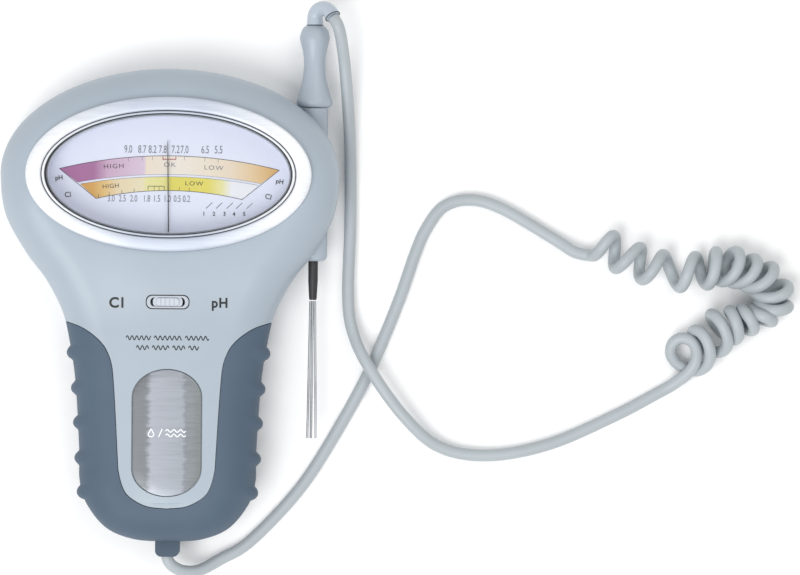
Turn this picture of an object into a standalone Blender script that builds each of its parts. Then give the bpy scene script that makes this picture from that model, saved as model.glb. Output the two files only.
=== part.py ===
"""Passive water tester: needle meter in a handheld case, coiled cord, three-rod probe in a side holster."""

import math

import bmesh
import bpy
from mathutils import Vector

# Dimensions are in millimetres. The tester lies on its back, +Z out of the dial, +Y towards the head.
MM = 0.001
GAP = 0.3
PARTING_Z = 17.0
HEAD_Y = 37.2
HEAD_A = 61.0
HEAD_B = 38.2
HEAD_Z = 32.0
GRIP_Z = 29.5
CROWN = 0.8
EDGE_FRONT = 14.0
EDGE_BACK = 10.0
WALL = 3.0
GRIP_THICK = 1.3
GRIP_START_Y = -15.6
PIVOT_Y = 9.2
SWITCH_Y = -8.5
LABEL_Y = -55.4
GLAND_END_Y = -100.3
GLAND_Z = 12.0
PROBE_X = 51.7
PROBE_Z = 10.5
CORD_R = 2.15
COIL_R = 8.0
NEEDLE_REST = math.radians(0.9)

# Half-width and Y of the case below the head's widest line.
SIDE = [
    (61.0, 37.2),
    (60.3, 28.2),
    (57.8, 19.6),
    (50.9, 8.0),
    (44.3, -0.6),
    (38.3, -12.1),
    (35.5, -23.6),
    (33.4, -38.0),
    (31.9, -62.0),
    (31.7, -72.8),
    (29.2, -81.2),
    (22.1, -89.9),
    (12.0, -94.0),
    (0.0, -94.8),
]

for old in list(bpy.data.objects):
    bpy.data.objects.remove(old)

parts = bpy.data.collections.new("water_tester")
cutters = bpy.data.collections.new("cutters")
bpy.context.scene.collection.children.link(parts)
bpy.context.scene.collection.children.link(cutters)
cutters.hide_render = True


def material(name, color, roughness, metallic=0.0, alpha=1.0):
    made = bpy.data.materials.new(name)
    made.use_nodes = True
    shader = made.node_tree.nodes["Principled BSDF"]
    shader.inputs["Base Color"].default_value = (*color, 1.0)
    shader.inputs["Roughness"].default_value = roughness
    shader.inputs["Metallic"].default_value = metallic
    shader.inputs["Alpha"].default_value = alpha
    made.diffuse_color = (*color, alpha)
    return made


CASE = material("case_plastic", (0.55, 0.63, 0.70), 0.4)
RUBBER = material("grip_rubber", (0.15, 0.20, 0.26), 0.7)
TRIM = material("bezel_silver", (0.75, 0.76, 0.78), 0.25, 0.9)
PLATE = material("label_silver", (0.55, 0.56, 0.58), 0.35, 0.9)
LENS = material("clear_lens", (0.95, 0.97, 0.98), 0.05, 0.0, 0.25)
SEAL = material("black_seal", (0.03, 0.03, 0.035), 0.8)
DIAL = material("dial_card", (0.86, 0.85, 0.90), 0.5)
BLACK = material("needle_black", (0.02, 0.02, 0.02), 0.5)
STEEL = material("steel", (0.55, 0.56, 0.58), 0.3, 1.0)
IRON = material("magnet_iron", (0.18, 0.18, 0.19), 0.5, 0.8)
COPPER = material("coil_copper", (0.60, 0.28, 0.12), 0.4, 0.9)
BRASS = material("brass", (0.65, 0.48, 0.20), 0.3, 1.0)
BOARD = material("board_green", (0.05, 0.22, 0.10), 0.5)
CREAM = material("switch_cream", (0.80, 0.80, 0.76), 0.5)
BLUE = material("trimmer_blue", (0.05, 0.15, 0.45), 0.4)
TAN = material("resistor_tan", (0.60, 0.45, 0.28), 0.5)
MILKY = material("milky_strain_relief", (0.62, 0.66, 0.68), 0.45)
SLEEVE = material("sleeve_black", (0.04, 0.04, 0.045), 0.5)
GREY = material("cord_grey", (0.52, 0.57, 0.59), 0.5)
RED = material("wire_red", (0.50, 0.04, 0.04), 0.5)


def add(name, verts, faces, skin, origin=(0, 0, 0), home=parts):
    """A mesh object from millimetre points, with its origin at the given point."""
    mesh = bpy.data.meshes.new(name)
    start = Vector(origin)
    mesh.from_pydata([(Vector(v) - start) * MM for v in verts], [], faces)
    shape = bmesh.new()
    shape.from_mesh(mesh)
    bmesh.ops.recalc_face_normals(shape, faces=shape.faces)
    shape.to_mesh(mesh)
    shape.free()
    obj = bpy.data.objects.new(name, mesh)
    obj.location = start * MM
    home.objects.link(obj)
    if skin:
        mesh.materials.append(skin)
    return obj


def loft(name, rings, skin, origin=(0, 0, 0), looped=False, home=parts):
    """Joins rings of equal count. A looped loft joins the last ring to the first, any other is capped."""
    count = len(rings[0])
    verts = [p for ring in rings for p in ring]
    faces = []
    for k in range(len(rings) if looped else len(rings) - 1):
        a = k * count
        b = (k + 1) % len(rings) * count
        faces += [(a + i, a + (i + 1) % count, b + (i + 1) % count, b + i) for i in range(count)]
    if not looped:
        faces.append(tuple(range(count)))
        faces.append(tuple(range(len(verts) - count, len(verts))))
    return add(name, verts, faces, skin, origin, home)


def flat(points, z):
    return [(x, y, z) for x, y in points]


def prism(name, points, low, high, skin, origin=(0, 0, 0), home=parts):
    return loft(name, [flat(points, low), flat(points, high)], skin, origin, home=home)


def ellipse(a, b, cx=0.0, cy=HEAD_Y, n=60):
    turns = [2 * math.pi * (k + 0.5) / n for k in range(n)]
    return [(cx + a * math.cos(t), cy + b * math.sin(t)) for t in turns]


def slot(half_x, half_y, corner, cx=0.0, cy=0.0, n=5):
    """A rectangle with round corners."""
    points = []
    for sx, sy, first in ((1, 1, 0), (-1, 1, 90), (-1, -1, 180), (1, -1, 270)):
        for k in range(n + 1):
            t = math.radians(first + 90 * k / n)
            x = cx + sx * (half_x - corner) + corner * math.cos(t)
            y = cy + sy * (half_y - corner) + corner * math.sin(t)
            points.append((x, y))
    return points


def capsule(grow):
    """The label's outline: straight sides with half-ellipse ends."""
    a = 12.4 + grow
    b = 10.0 + grow
    top = [(a * math.cos(t), 12.65 + b * math.sin(t)) for t in (math.pi * k / 16 for k in range(17))]
    return [(x, LABEL_Y + y) for x, y in top] + [(-x, LABEL_Y - y) for x, y in top]


def box(name, low, high, skin, origin=(0, 0, 0), home=parts):
    points = [(low[0], low[1]), (high[0], low[1]), (high[0], high[1]), (low[0], high[1])]
    return prism(name, points, low[2], high[2], skin, origin, home)


def rod(name, radius, start, length, skin, axis="Z", n=20, home=parts):
    """A round bar from its start along an axis."""
    turns = [2 * math.pi * k / n for k in range(n)]
    ring = [(radius * math.cos(t), radius * math.sin(t)) for t in turns]
    rings = []
    for t in (0.0, length):
        if axis == "Z":
            rings.append([(start[0] + u, start[1] + v, start[2] + t) for u, v in ring])
        else:
            rings.append([(start[0] + u, start[1] + t, start[2] + v) for u, v in ring])
    return loft(name, rings, skin, start, home=home)


def turned(name, profile, centre, skin, along_y=False, looped=False, n=28):
    """A Screw modifier turns (radius, height) points, listed top to bottom on the outer side."""
    mesh = bpy.data.meshes.new(name)
    edges = [(k, k + 1) for k in range(len(profile) - 1)]
    if looped:
        edges.append((len(profile) - 1, 0))
    mesh.from_pydata([(r * MM, 0.0, z * MM) for r, z in profile], edges, [])
    mesh.materials.append(skin)
    obj = bpy.data.objects.new(name, mesh)
    obj.location = Vector(centre) * MM
    if along_y:
        obj.rotation_euler = (-math.pi / 2, 0.0, 0.0)
    parts.objects.link(obj)
    screw = obj.modifiers.new("turn", "SCREW")
    screw.steps = n
    screw.render_steps = n
    screw.use_merge_vertices = True
    screw.merge_threshold = 0.00001
    return obj


def smooth(points, per_span):
    """A Catmull-Rom curve through the points."""
    ends = [Vector(points[0]) * 2 - Vector(points[1])]
    ends += [Vector(p) for p in points]
    ends += [Vector(points[-1]) * 2 - Vector(points[-2])]
    curve = []
    for k in range(1, len(ends) - 2):
        p0, p1, p2, p3 = ends[k - 1 : k + 3]
        for step in range(per_span):
            t = step / per_span
            turn = p1 * 2 + (p2 - p0) * t + (p0 * 2 - p1 * 5 + p2 * 4 - p3) * t**2
            curve.append((turn + (p1 * 3 - p0 - p2 * 3 + p3) * t**3) / 2)
    curve.append(ends[-2])
    return curve


def evenly(points, count):
    """The points of a polyline respaced at equal lengths."""
    run = [0.0]
    for a, b in zip(points, points[1:]):
        run.append(run[-1] + (b - a).length)
    spaced = []
    k = 0
    for step in range(count + 1):
        goal = run[-1] * step / count
        while k < len(run) - 2 and run[k + 1] < goal:
            k += 1
        share = (goal - run[k]) / (run[k + 1] - run[k])
        spaced.append(points[k].lerp(points[k + 1], share))
    return spaced


def tube(name, points, radius, skin, resolution=2, radii=None, origin=(0, 0, 0)):
    """A round tube along the points, from a curve with a bevel and filled caps."""
    curve = bpy.data.curves.new(name, "CURVE")
    curve.dimensions = "3D"
    curve.bevel_depth = radius * MM
    curve.bevel_resolution = resolution
    curve.use_fill_caps = True
    line = curve.splines.new("POLY")
    line.points.add(len(points) - 1)
    for k, p in enumerate(points):
        line.points[k].co = (*((Vector(p) - Vector(origin)) * MM), 1.0)
        line.points[k].radius = radii[k] if radii else 1.0
    curve.materials.append(skin)
    obj = bpy.data.objects.new(name, curve)
    obj.location = Vector(origin) * MM
    parts.objects.link(obj)
    return obj


def boolean(obj, other, operation="DIFFERENCE"):
    if cutters not in other.users_collection:
        for home in list(other.users_collection):
            home.objects.unlink(other)
        cutters.objects.link(other)
    other.hide_render = True
    other.display_type = "WIRE"
    made = obj.modifiers.new(other.name, "BOOLEAN")
    made.operation = operation
    made.solver = "EXACT"
    made.object = other


# ---- The outer surface of the case, shared by both halves and the grip ----


def right_side(quarter, lower):
    """The case outline's right half, from the top centre to the bottom centre."""
    turns = [math.pi / 2 * (1 - k / quarter) for k in range(quarter)]
    head = [Vector((HEAD_A * math.cos(t), HEAD_Y + HEAD_B * math.sin(t))) for t in turns]
    return head + evenly(smooth(SIDE, 8), lower)


def stations(right):
    """Each outline point with its inward normal, for the whole outline, clockwise from the top centre."""
    right = [Vector((0.0, right[0].y)) if k == 0 else p for k, p in enumerate(right)]
    left = [Vector((-p.x, p.y)) for p in reversed(right[1:-1])]
    loop = right + left
    found = []
    for k, p in enumerate(loop):
        along = loop[(k + 1) % len(loop)] - loop[k - 1]
        found.append((p, Vector((along.y, -along.x)).normalized()))
    return found


def front_height(y):
    """The crest of the front: the head stands above the handle."""
    t = min(1.0, max(0.0, (y + 18.0) / 32.0))
    return GRIP_Z + (HEAD_Z - GRIP_Z) * t * t * (3 - 2 * t)


def skin_point(station, turn, depth, base_z=PARTING_Z, extra=0.0):
    """A point at a depth under the surface. The turn runs from -90 on the back to 90 on the front."""
    p, inward = station
    angle = math.radians(abs(turn))
    edge = EDGE_FRONT if turn >= 0 else EDGE_BACK
    crest = p + inward * edge
    rise = front_height(crest.y) - base_z if turn >= 0 else -base_z
    rise += -depth if turn >= 0 else depth
    spot = p + inward * (depth + (edge - depth) * (1 - math.cos(angle)) + extra)
    return (spot.x, spot.y, base_z + rise * math.sin(angle))


def shell(name, ring_turns, inner_turns, columns, base_z, skin):
    """Half of the case: outer rings to a crowned middle, and the same again one wall inside."""
    loop = stations(right_side(14, 27))
    count = len(loop)
    half = count // 2
    verts = []
    faces = []
    starts = []
    for turns, depth in ((ring_turns, 0.0), (inner_turns, WALL)):
        starts.append(len(verts))
        for turn in turns:
            verts += [skin_point(s, turn, depth, base_z) for s in loop]
        first = starts[-1]
        for k in range(len(turns) - 1):
            a = first + k * count
            faces += [
                (a + i, a + (i + 1) % count, a + count + (i + 1) % count, a + count + i)
                for i in range(count)
            ]
        last = first + (len(turns) - 1) * count
        rows = [[last]]
        for i in range(1, half):
            x, y, z = verts[last + i]
            row = [last + i]
            for share in columns:
                fade = max(0.0, min(1.0, (16.0 - y) / 20.0)) * max(0.0, min(1.0, (y + 84.0) / 8.0))
                lift = CROWN * fade * (1 - share * share)
                row.append(len(verts))
                verts.append((x * share, y, z + lift))
            row.append(last + count - i)
            rows.append(row)
        rows.append([last + half])
        for upper, lower in zip(rows, rows[1:]):
            spans = range(len(columns) + 1)
            if len(upper) == 1:
                faces += [(upper[0], lower[j], lower[j + 1]) for j in spans]
            elif len(lower) == 1:
                faces += [(lower[0], upper[j], upper[j + 1]) for j in spans]
            else:
                faces += [(upper[j], upper[j + 1], lower[j + 1], lower[j]) for j in spans]
    outer, inner = starts
    faces += [
        (outer + i, outer + (i + 1) % count, inner + (i + 1) % count, inner + i) for i in range(count)
    ]
    return add(name, verts, faces, skin)


def grip_band(name, outer, inner, extra, skin, home):
    """The rubber grip's solid along the handle's outline, or its pocket when grown."""
    side = [p for p in smooth(SIDE, 8) if p.y < GRIP_START_Y + extra]
    first = Vector((36.85, GRIP_START_Y + extra))
    run = [first] + evenly([first] + side, 20)[1:]
    near = evenly([run[0], run[1]], 3)
    run = near[:-1] + run[1:]
    path = run + [Vector((-p.x, p.y)) for p in reversed(run[:-1])]
    rings = []
    length = 0.0
    total = sum((b - a).length for a, b in zip(path, path[1:]))
    for k, p in enumerate(path):
        length += (p - path[max(k - 1, 0)]).length
        along = path[min(k + 1, len(path) - 1)] - path[max(k - 1, 0)]
        station = (p, Vector((along.y, -along.x)).normalized())
        reach = min(1.0, (0.4 + min(length, total - length)) / 16.0)
        across = EDGE_FRONT - 2.1 * max(0.0, 1 - (p.x / 26.0) ** 2)
        across *= math.sqrt(1 - (1 - reach) ** 2)
        front = math.degrees(math.acos(max(0.0, 1 - across / EDGE_FRONT)))
        back = 80.0 * math.sqrt(1 - (1 - reach) ** 2)
        turns = [front, front * 0.75, front * 0.5, front * 0.25, 0.0, -back / 3, -back * 2 / 3, -back]
        ends = [extra] + [0.0] * 6 + [extra]
        ring = [skin_point(station, t, outer, extra=end) for t, end in zip(turns, ends)]
        ring += [skin_point(station, t, inner, extra=end) for t, end in zip(turns[::-1], ends)]
        rings.append(ring)
    return loft(name, rings, skin, home=home)


# ---- Case, grip and trim ----

FRONT_TURNS = (0, 20, 40, 60, 75, 90)
REAR_TURNS = (-0.001, -22, -45, -68, -90)
front_case = shell("front_case", FRONT_TURNS, (0, 45, 90), (0.5, 0.0, -0.5), PARTING_Z + GAP / 2, CASE)
rear_case = shell("rear_case", REAR_TURNS, (-0.001, -45, -90), (), PARTING_Z - GAP / 2, CASE)
pocket = grip_band("cut_grip_pocket", -1.6, GRIP_THICK + GAP, GAP, None, cutters)
grip = grip_band("grip_sleeve", 0.0, GRIP_THICK, 0.0, RUBBER, parts)

CASE_SCREWS = [(26.5, 62.7), (-26.5, 62.7), (17.0, -68.0), (-17.0, -68.0)]
DIAL_SCREWS = [(0.0, 59.9), (15.6, 16.0), (-15.6, 16.0)]

for k, (x, y) in enumerate(CASE_SCREWS):
    boolean(rear_case, rod(f"boss_rear_{k}", 3.8, (x, y, 2.7), 13.8, None, n=16), "UNION")
    boolean(front_case, rod(f"boss_front_{k}", 3.4, (x, y, PARTING_Z + GAP), 10.15, None, n=18), "UNION")
for k, (x, y) in enumerate(DIAL_SCREWS):
    boolean(rear_case, rod(f"post_dial_{k}", 2.2, (x, y, 1.5), 21.4, None, n=12), "UNION")
for k, (x, y) in enumerate([(-14.0, -12.0), (14.0, -48.0)]):
    boolean(rear_case, rod(f"post_board_{k}", 2.6, (x, y, 1.5), 10.2, None, n=12), "UNION")
    boolean(rear_case, rod(f"cut_board_{k}", 1.1, (x, y, 5.5), 8.0, None, n=12))
for k, (x, y) in enumerate(DIAL_SCREWS):
    boolean(rear_case, rod(f"cut_dial_{k}", 1.1, (x, y, 16.0), 9.0, None, n=12))
for k, (x, y) in enumerate(CASE_SCREWS):
    boolean(rear_case, rod(f"cut_head_{k}", 2.9, (x, y, -1.0), 3.6, None, n=16))
    boolean(rear_case, rod(f"cut_shank_{k}", 1.6, (x, y, 1.0), 17.0, None, n=12))
    boolean(front_case, rod(f"cut_thread_{k}", 1.6, (x, y, 16.0), 8.5, None, n=12))
boolean(front_case, prism("cut_window", ellipse(43.5, 21.2), 25.0, 40.0, None))
boolean(front_case, prism("cut_bezel_seat", ellipse(51.5, 28.0), 31.0, 40.0, None))
boolean(front_case, prism("cut_switch", slot(7.85, 2.6, 2.2, 0.0, SWITCH_Y), 20.0, 40.0, None))
boolean(front_case, prism("cut_label", capsule(GAP), 29.2, 40.0, None))
boolean(front_case, pocket)
boolean(rear_case, pocket)
boolean(rear_case, rod("cut_holster", 5.3, (PROBE_X, -10.0, PROBE_Z), 90.0, None, "Y", 32))
gland_way = box("cut_gland", (-4.65, -105.0, 7.0), (4.65, -88.0, 17.5), None)
boolean(rear_case, gland_way)
boolean(grip, gland_way)

for k, (x, y) in enumerate([(34.8, -27.0), (33.1, -39.7), (32.4, -52.1), (31.8, -64.8), (30.65, -77.2)]):
    for side in (1, -1):
        turns = [math.radians(-90 + 22.5 * j) for j in range(9)]
        bump = [(side * (x - 0.3 + 2.0 * math.cos(t)), y + 2.0 * math.sin(t)) for t in turns]
        bump += [(side * (x - 1.0), y + 2.0), (side * (x - 1.0), y - 2.0)]
        boolean(grip, prism(f"bump_{k}_{side + 1}", bump, 11.5, 21.5, None), "UNION")

bezel_profile = [(0.0, 31.3), (0.0, 34.4), (-1.0, 35.2), (-2.8, 35.4), (-4.8, 34.9)]
bezel_profile += [(-5.6, 34.4), (-5.6, 31.3)]
rings = []
for inset, z in bezel_profile:
    share = -inset / 5.6
    rings.append(flat(ellipse(51.2 + inset, 27.7 - 5.0 * share), z))
loft("bezel_ring", rings, TRIM, looped=True)
seal = [(45.2, 22.3, 31.3), (45.2, 22.3, 31.8), (43.8, 21.5, 31.8), (43.8, 21.5, 31.3)]
loft("lens_gasket", [flat(ellipse(a, b), z) for a, b, z in seal], SEAL, looped=True)
pane = [(45.2, 22.3, 32.1), (45.2, 22.3, 33.5), (44.4, 21.7, 33.9)]
loft("lens_window", [flat(ellipse(a, b), z) for a, b, z in pane], LENS)
prism("label_plate", capsule(0.0), 29.5, 30.4, PLATE)
loft(
    "switch_guide",
    [
        flat(slot(7.55, 2.3, 2.0, 0.0, SWITCH_Y), 27.4),
        flat(slot(7.55, 2.3, 2.0, 0.0, SWITCH_Y), 30.9),
        flat(slot(6.9, 1.65, 1.5, 0.0, SWITCH_Y), 30.9),
        flat(slot(6.9, 1.65, 1.5, 0.0, SWITCH_Y), 27.4),
    ],
    SEAL,
    looped=True,
)

# ---- Meter movement ----

dial = prism("dial_plate", ellipse(46.5, 24.2), 23.2, 24.0, DIAL)
for k, (x, y) in enumerate(DIAL_SCREWS):
    boolean(dial, rod(f"cut_dial_hole_{k}", 1.1, (x, y, 22.0), 3.0, None, n=12))
    screw = [(0.0, 25.0), (1.1, 24.9), (1.4, 24.3), (0.8, 24.3), (0.8, 17.0), (0.0, 17.0)]
    turned(f"dial_screw_{k + 1}", screw, (x, y, 0.0), STEEL, n=12)
base = box("meter_base", (-15.8, -3.3, 3.3), (15.8, 12.8, 5.3), STEEL)
boolean(base, box("base_tongue", (-12.6, 10.0, 3.3), (12.6, 21.7, 5.3), None), "UNION")
yoke = [(12.5, 20.5), (12.5, 5.6), (10.0, 5.6), (10.0, 20.5)]
turned("yoke_ring", yoke, (0.0, PIVOT_Y, 0.0), IRON, looped=True, n=36)
rod("core_magnet", 6.0, (0.0, PIVOT_Y, 9.9), 9.2, STEEL, n=28)
box("core_arm_near", (-1.4, PIVOT_Y - 9.6, 12.0), (1.4, PIVOT_Y - 6.3, 17.0), BRASS)
box("core_arm_far", (-1.4, PIVOT_Y + 6.3, 12.0), (1.4, PIVOT_Y + 9.6, 17.0), BRASS)
rod("jewel_screw_lower", 2.0, (0.0, PIVOT_Y, 5.6), 1.0, BRASS)
bridge = box("upper_bridge", (-15.2, PIVOT_Y - 2.6, 5.6), (15.2, PIVOT_Y + 2.6, 28.0), STEEL)
boolean(bridge, box("cut_bridge", (-13.0, PIVOT_Y - 4.0, 4.0), (13.0, PIVOT_Y + 4.0, 26.8), None))
boolean(bridge, rod("cut_bridge_jewel", 1.6, (0.0, PIVOT_Y, 25.0), 5.0, None, n=16))
rod("jewel_screw_upper", 1.3, (0.0, PIVOT_Y, 26.5), 1.8, BRASS, n=16)

coil_middle = (0.0, PIVOT_Y, 14.5)
coil = box("moving_coil", (-9.3, PIVOT_Y - 1.4, 8.0), (9.3, PIVOT_Y + 1.4, 21.0), COPPER, coil_middle)
boolean(coil, box("cut_coil", (-7.3, PIVOT_Y - 4.0, 9.4), (7.3, PIVOT_Y + 4.0, 19.6), None))
rod("shaft_lower", 0.5, (0.0, PIVOT_Y, 6.9), 0.8, STEEL, n=12)
rod("shaft_upper", 0.5, (0.0, PIVOT_Y, 21.3), 2.9, STEEL, n=12)
rod("needle_hub", 1.7, (0.0, PIVOT_Y, 24.5), 1.7, BLACK, n=20)
spiral = []
for k in range(49):
    t = 2 * math.pi * k / 16
    r = 1.1 + 1.0 * k / 16
    spiral.append((r * math.cos(t), PIVOT_Y + r * math.sin(t), 22.2))
tube("hairspring", spiral, 0.18, BRASS, 0, origin=(0.0, PIVOT_Y, 22.2))


def from_pivot(across, out):
    """A point of the needle, turned to its rest angle about the pivot."""
    c = math.cos(NEEDLE_REST)
    s = math.sin(NEEDLE_REST)
    return (across * c - out * s, PIVOT_Y + across * s + out * c)


blade = [from_pivot(-0.35, 2.0), from_pivot(0.35, 2.0), from_pivot(0.15, 40.2), from_pivot(-0.15, 40.2)]
prism("needle", blade, 25.0, 25.5, BLACK, (0.0, PIVOT_Y, 25.2))
tail = [from_pivot(-0.9, -7.0), from_pivot(0.9, -7.0), from_pivot(0.5, -2.0), from_pivot(-0.5, -2.0)]
prism("needle_tail", tail, 24.8, 25.7, BRASS, (0.0, PIVOT_Y, 25.2))

# ---- Board, switch and wiring ----

board = box("circuit_board", (-18.0, -57.0, 12.0), (18.0, -4.4, 13.6), BOARD)
for k, (x, y) in enumerate([(-14.0, -12.0), (14.0, -48.0)]):
    boolean(board, rod(f"cut_board_hole_{k}", 1.3, (x, y, 11.0), 4.0, None, n=12))
    screw = [(0.0, 15.2), (1.6, 15.0), (2.2, 13.9), (0.8, 13.9), (0.8, 6.5), (0.0, 6.5)]
    turned(f"board_screw_{k + 1}", screw, (x, y, 0.0), STEEL, n=12)
box("switch_body", (-9.0, SWITCH_Y - 4.0, 13.9), (9.0, SWITCH_Y + 4.0, 24.0), STEEL)
knob_middle = (0.0, SWITCH_Y, 27.0)
knob = box("switch_knob", (-10.0, SWITCH_Y - 3.4, 24.3), (10.0, SWITCH_Y + 3.4, 25.5), CREAM, knob_middle)
boolean(knob, prism("knob_stem", slot(4.6, 1.35, 1.2, 0.0, SWITCH_Y), 25.0, 30.7, None), "UNION")
for k in range(5):
    x = -3.2 + 1.6 * k
    rib = box(f"cut_rib_{k}", (x - 0.35, SWITCH_Y - 2.0, 30.2), (x + 0.35, SWITCH_Y + 2.0, 32.0), None)
    boolean(knob, rib)
box("trimmer_left", (-13.0, -28.0, 13.9), (-6.0, -21.0, 18.5), BLUE)
box("trimmer_right", (6.0, -28.0, 13.9), (13.0, -21.0, 18.5), BLUE)
rod("resistor_left", 1.2, (-9.5, -42.0, 15.3), 7.0, TAN, "Y", 12)
rod("resistor_right", 1.2, (0.0, -42.0, 15.3), 7.0, TAN, "Y", 12)
rod("capacitor", 3.0, (9.5, -37.0, 13.9), 7.0, BLUE, n=18)
for k, (x, y) in enumerate(CASE_SCREWS):
    screw = [(0.0, 24.0), (1.2, 24.0), (1.2, 3.0), (1.2, 2.3), (2.4, 2.3), (2.4, 0.6), (0.0, 0.6)]
    turned(f"case_screw_{k + 1}", screw, (x, y, 0.0), STEEL, n=16)

gland = prism(
    "cable_gland", slot(4.35, 5.7, 2.2, 0.0, GLAND_END_Y + 5.7), GLAND_Z - 4.6, GLAND_Z + 4.4, RUBBER
)
flange = box("gland_flange", (-6.5, -89.6, GLAND_Z - 3.4), (6.5, -88.0, GLAND_Z + 4.4), None)
boolean(gland, flange, "UNION")
boolean(gland, rod("cut_gland_bore", 2.5, (0.0, -104.0, GLAND_Z), 20.0, None, "Y", 24))
clamp = box("cable_clamp", (-7.0, -87.6, GLAND_Z - 4.0), (7.0, -84.0, GLAND_Z + 4.0), STEEL)
boolean(clamp, rod("cut_clamp_bore", 2.6, (0.0, -92.0, GLAND_Z), 12.0, None, "Y", 24))
for name, side, skin in (("wire_left", -1, GREY), ("wire_right", 1, RED)):
    route = [(1.1 * side, -94.0, 12.0), (1.1 * side, -84.0, 12.0), (3.0 * side, -74.0, 12.6)]
    route += [(5.0 * side, -64.0, 12.8), (5.0 * side, -57.4, 12.8)]
    tube(name, evenly(smooth(route, 6), 12), 0.6, skin, 1)

# ---- Probe and its holster ----

holster = [(5.0, 55.1), (5.0, 1.6), (4.2, 0.4), (3.2, 0.0)]
holster += [(2.45, 0.0), (2.45, 6.0), (3.6, 6.9), (3.6, 55.1)]
turned("probe_holster", holster, (PROBE_X, 6.6, PROBE_Z), CASE, True, True, 24)
handle = [(0.0, 29.6), (3.4, 29.6), (4.6, 28.2), (5.4, 25.0), (4.6, 20.5), (3.8, 16.2), (4.2, 11.0)]
handle += [(5.4, 5.4), (6.5, 2.2), (6.4, 0.9), (5.4, 0.0), (0.0, 0.0)]
turned("probe_handle", handle, (PROBE_X, 62.0, PROBE_Z), CASE, True)
shank = [(0.0, 48.0), (3.3, 48.0), (3.3, 1.0), (2.5, 0.0), (0.0, 0.0)]
turned("probe_shank", shank, (PROBE_X, 13.7, PROBE_Z), SLEEVE, True, n=24)
sleeve = [(0.0, 20.8), (1.75, 20.8), (1.75, 7.0), (1.4, 0.6), (1.2, 0.0), (0.0, 0.0)]
turned("tip_sleeve", sleeve, (PROBE_X, -7.4, PROBE_Z), SLEEVE, True, n=20)
for name, x0, x1, z in (
    ("electrode_left", -0.85, -1.6, -0.3),
    ("electrode_middle", -0.05, -0.3, 0.6),
    ("electrode_right", 0.75, 1.4, -0.3),
):
    route = [(PROBE_X + x0, -7.8, PROBE_Z + z), (PROBE_X + x1, -57.3, PROBE_Z + z)]
    tube(name, route, 0.45, STEEL, 1, origin=(PROBE_X, -7.4, PROBE_Z))
hook = [(PROBE_X, 91.9, PROBE_Z), (PROBE_X, 93.4, PROBE_Z)]
for k in range(9):
    t = math.pi * k / 9.6
    rise = 5.6 * (k / 8) ** 1.5
    hook.append((PROBE_X + 3.0 - 3.0 * math.cos(t), 94.7 + 3.0 * math.sin(t), PROBE_Z + rise))
hook += [(PROBE_X + 6.4, 94.8, PROBE_Z + 6.4)]
tube("cord_elbow", hook, 2.6, MILKY, 4, [1.12, 1.06] + [1.0] * 8 + [0.95, 0.92], (PROBE_X, 91.9, PROBE_Z))

# ---- The free cord, lying beside the case ----

LOWER = [
    (0.0, -96.0, 12.0),
    (0.0, -98.5, 12.0),
    (0.0, -101.0, 11.9),
    (1.6, -103.6, 11.0),
    (5.6, -105.6, 8.8),
    (11.5, -105.4, 5.9),
    (19.1, -101.4, 3.0),
    (29.3, -95.2, 2.2),
    (45.6, -78.0, 2.2),
    (57.3, -60.6, 2.2),
    (71.5, -34.6, 2.2),
    (82.3, -8.6, 2.2),
    (88.3, 9.0, 2.2),
    (92.2, 18.2, 2.2),
    (98.5, 26.6, 2.2),
    (108.1, 29.3, 2.2),
    (119.6, 26.3, 2.2),
    (137.0, 16.4, 2.6),
    (151.4, 9.6, 3.4),
]
UPPER = [
    (187.0, -34.9, 2.6),
    (177.7, -39.6, 2.4),
    (161.6, -48.3, 2.2),
    (138.0, -58.8, 2.2),
    (116.0, -63.2, 2.2),
    (98.0, -60.3, 3.0),
    (84.6, -48.9, 6.2),
    (72.2, -31.7, 7.4),
    (66.2, -19.0, 4.6),
    (64.3, -5.8, 3.0),
    (64.9, 19.0, 2.6),
    (64.8, 43.1, 3.0),
    (64.0, 60.0, 5.4),
    (62.7, 76.0, 10.6),
    (61.6, 84.6, 15.2),
    (60.7, 89.4, 17.6),
    (59.7, 92.2, 18.3),
    (58.6, 93.95, 17.45),
]
COIL = [
    (152.6, 10.4, 8.2),
    (161.1, 9.6, 8.2),
    (170.2, 6.5, 8.2),
    (182.0, 4.0, 8.2),
    (194.0, 4.8, 8.2),
    (203.7, 5.4, 8.2),
    (211.5, 2.4, 8.2),
    (216.0, -3.8, 8.2),
    (214.0, -10.6, 8.2),
    (207.4, -14.6, 8.2),
    (199.0, -18.2, 8.2),
    (191.0, -23.6, 8.2),
    (188.4, -32.0, 8.2),
]
tube("cord_lead_lower", evenly(smooth(LOWER, 8), 44), CORD_R, GREY, 2)
tube("cord_lead_upper", evenly(smooth(UPPER, 8), 46), CORD_R, GREY, 2)
tube("cord_coil", evenly(smooth(COIL, 8), 26), COIL_R, GREY, 4)
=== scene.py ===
"""Passive water tester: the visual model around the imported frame."""

import math

import bmesh
import bpy
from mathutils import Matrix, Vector
from mathutils.bvhtree import BVHTree


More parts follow.
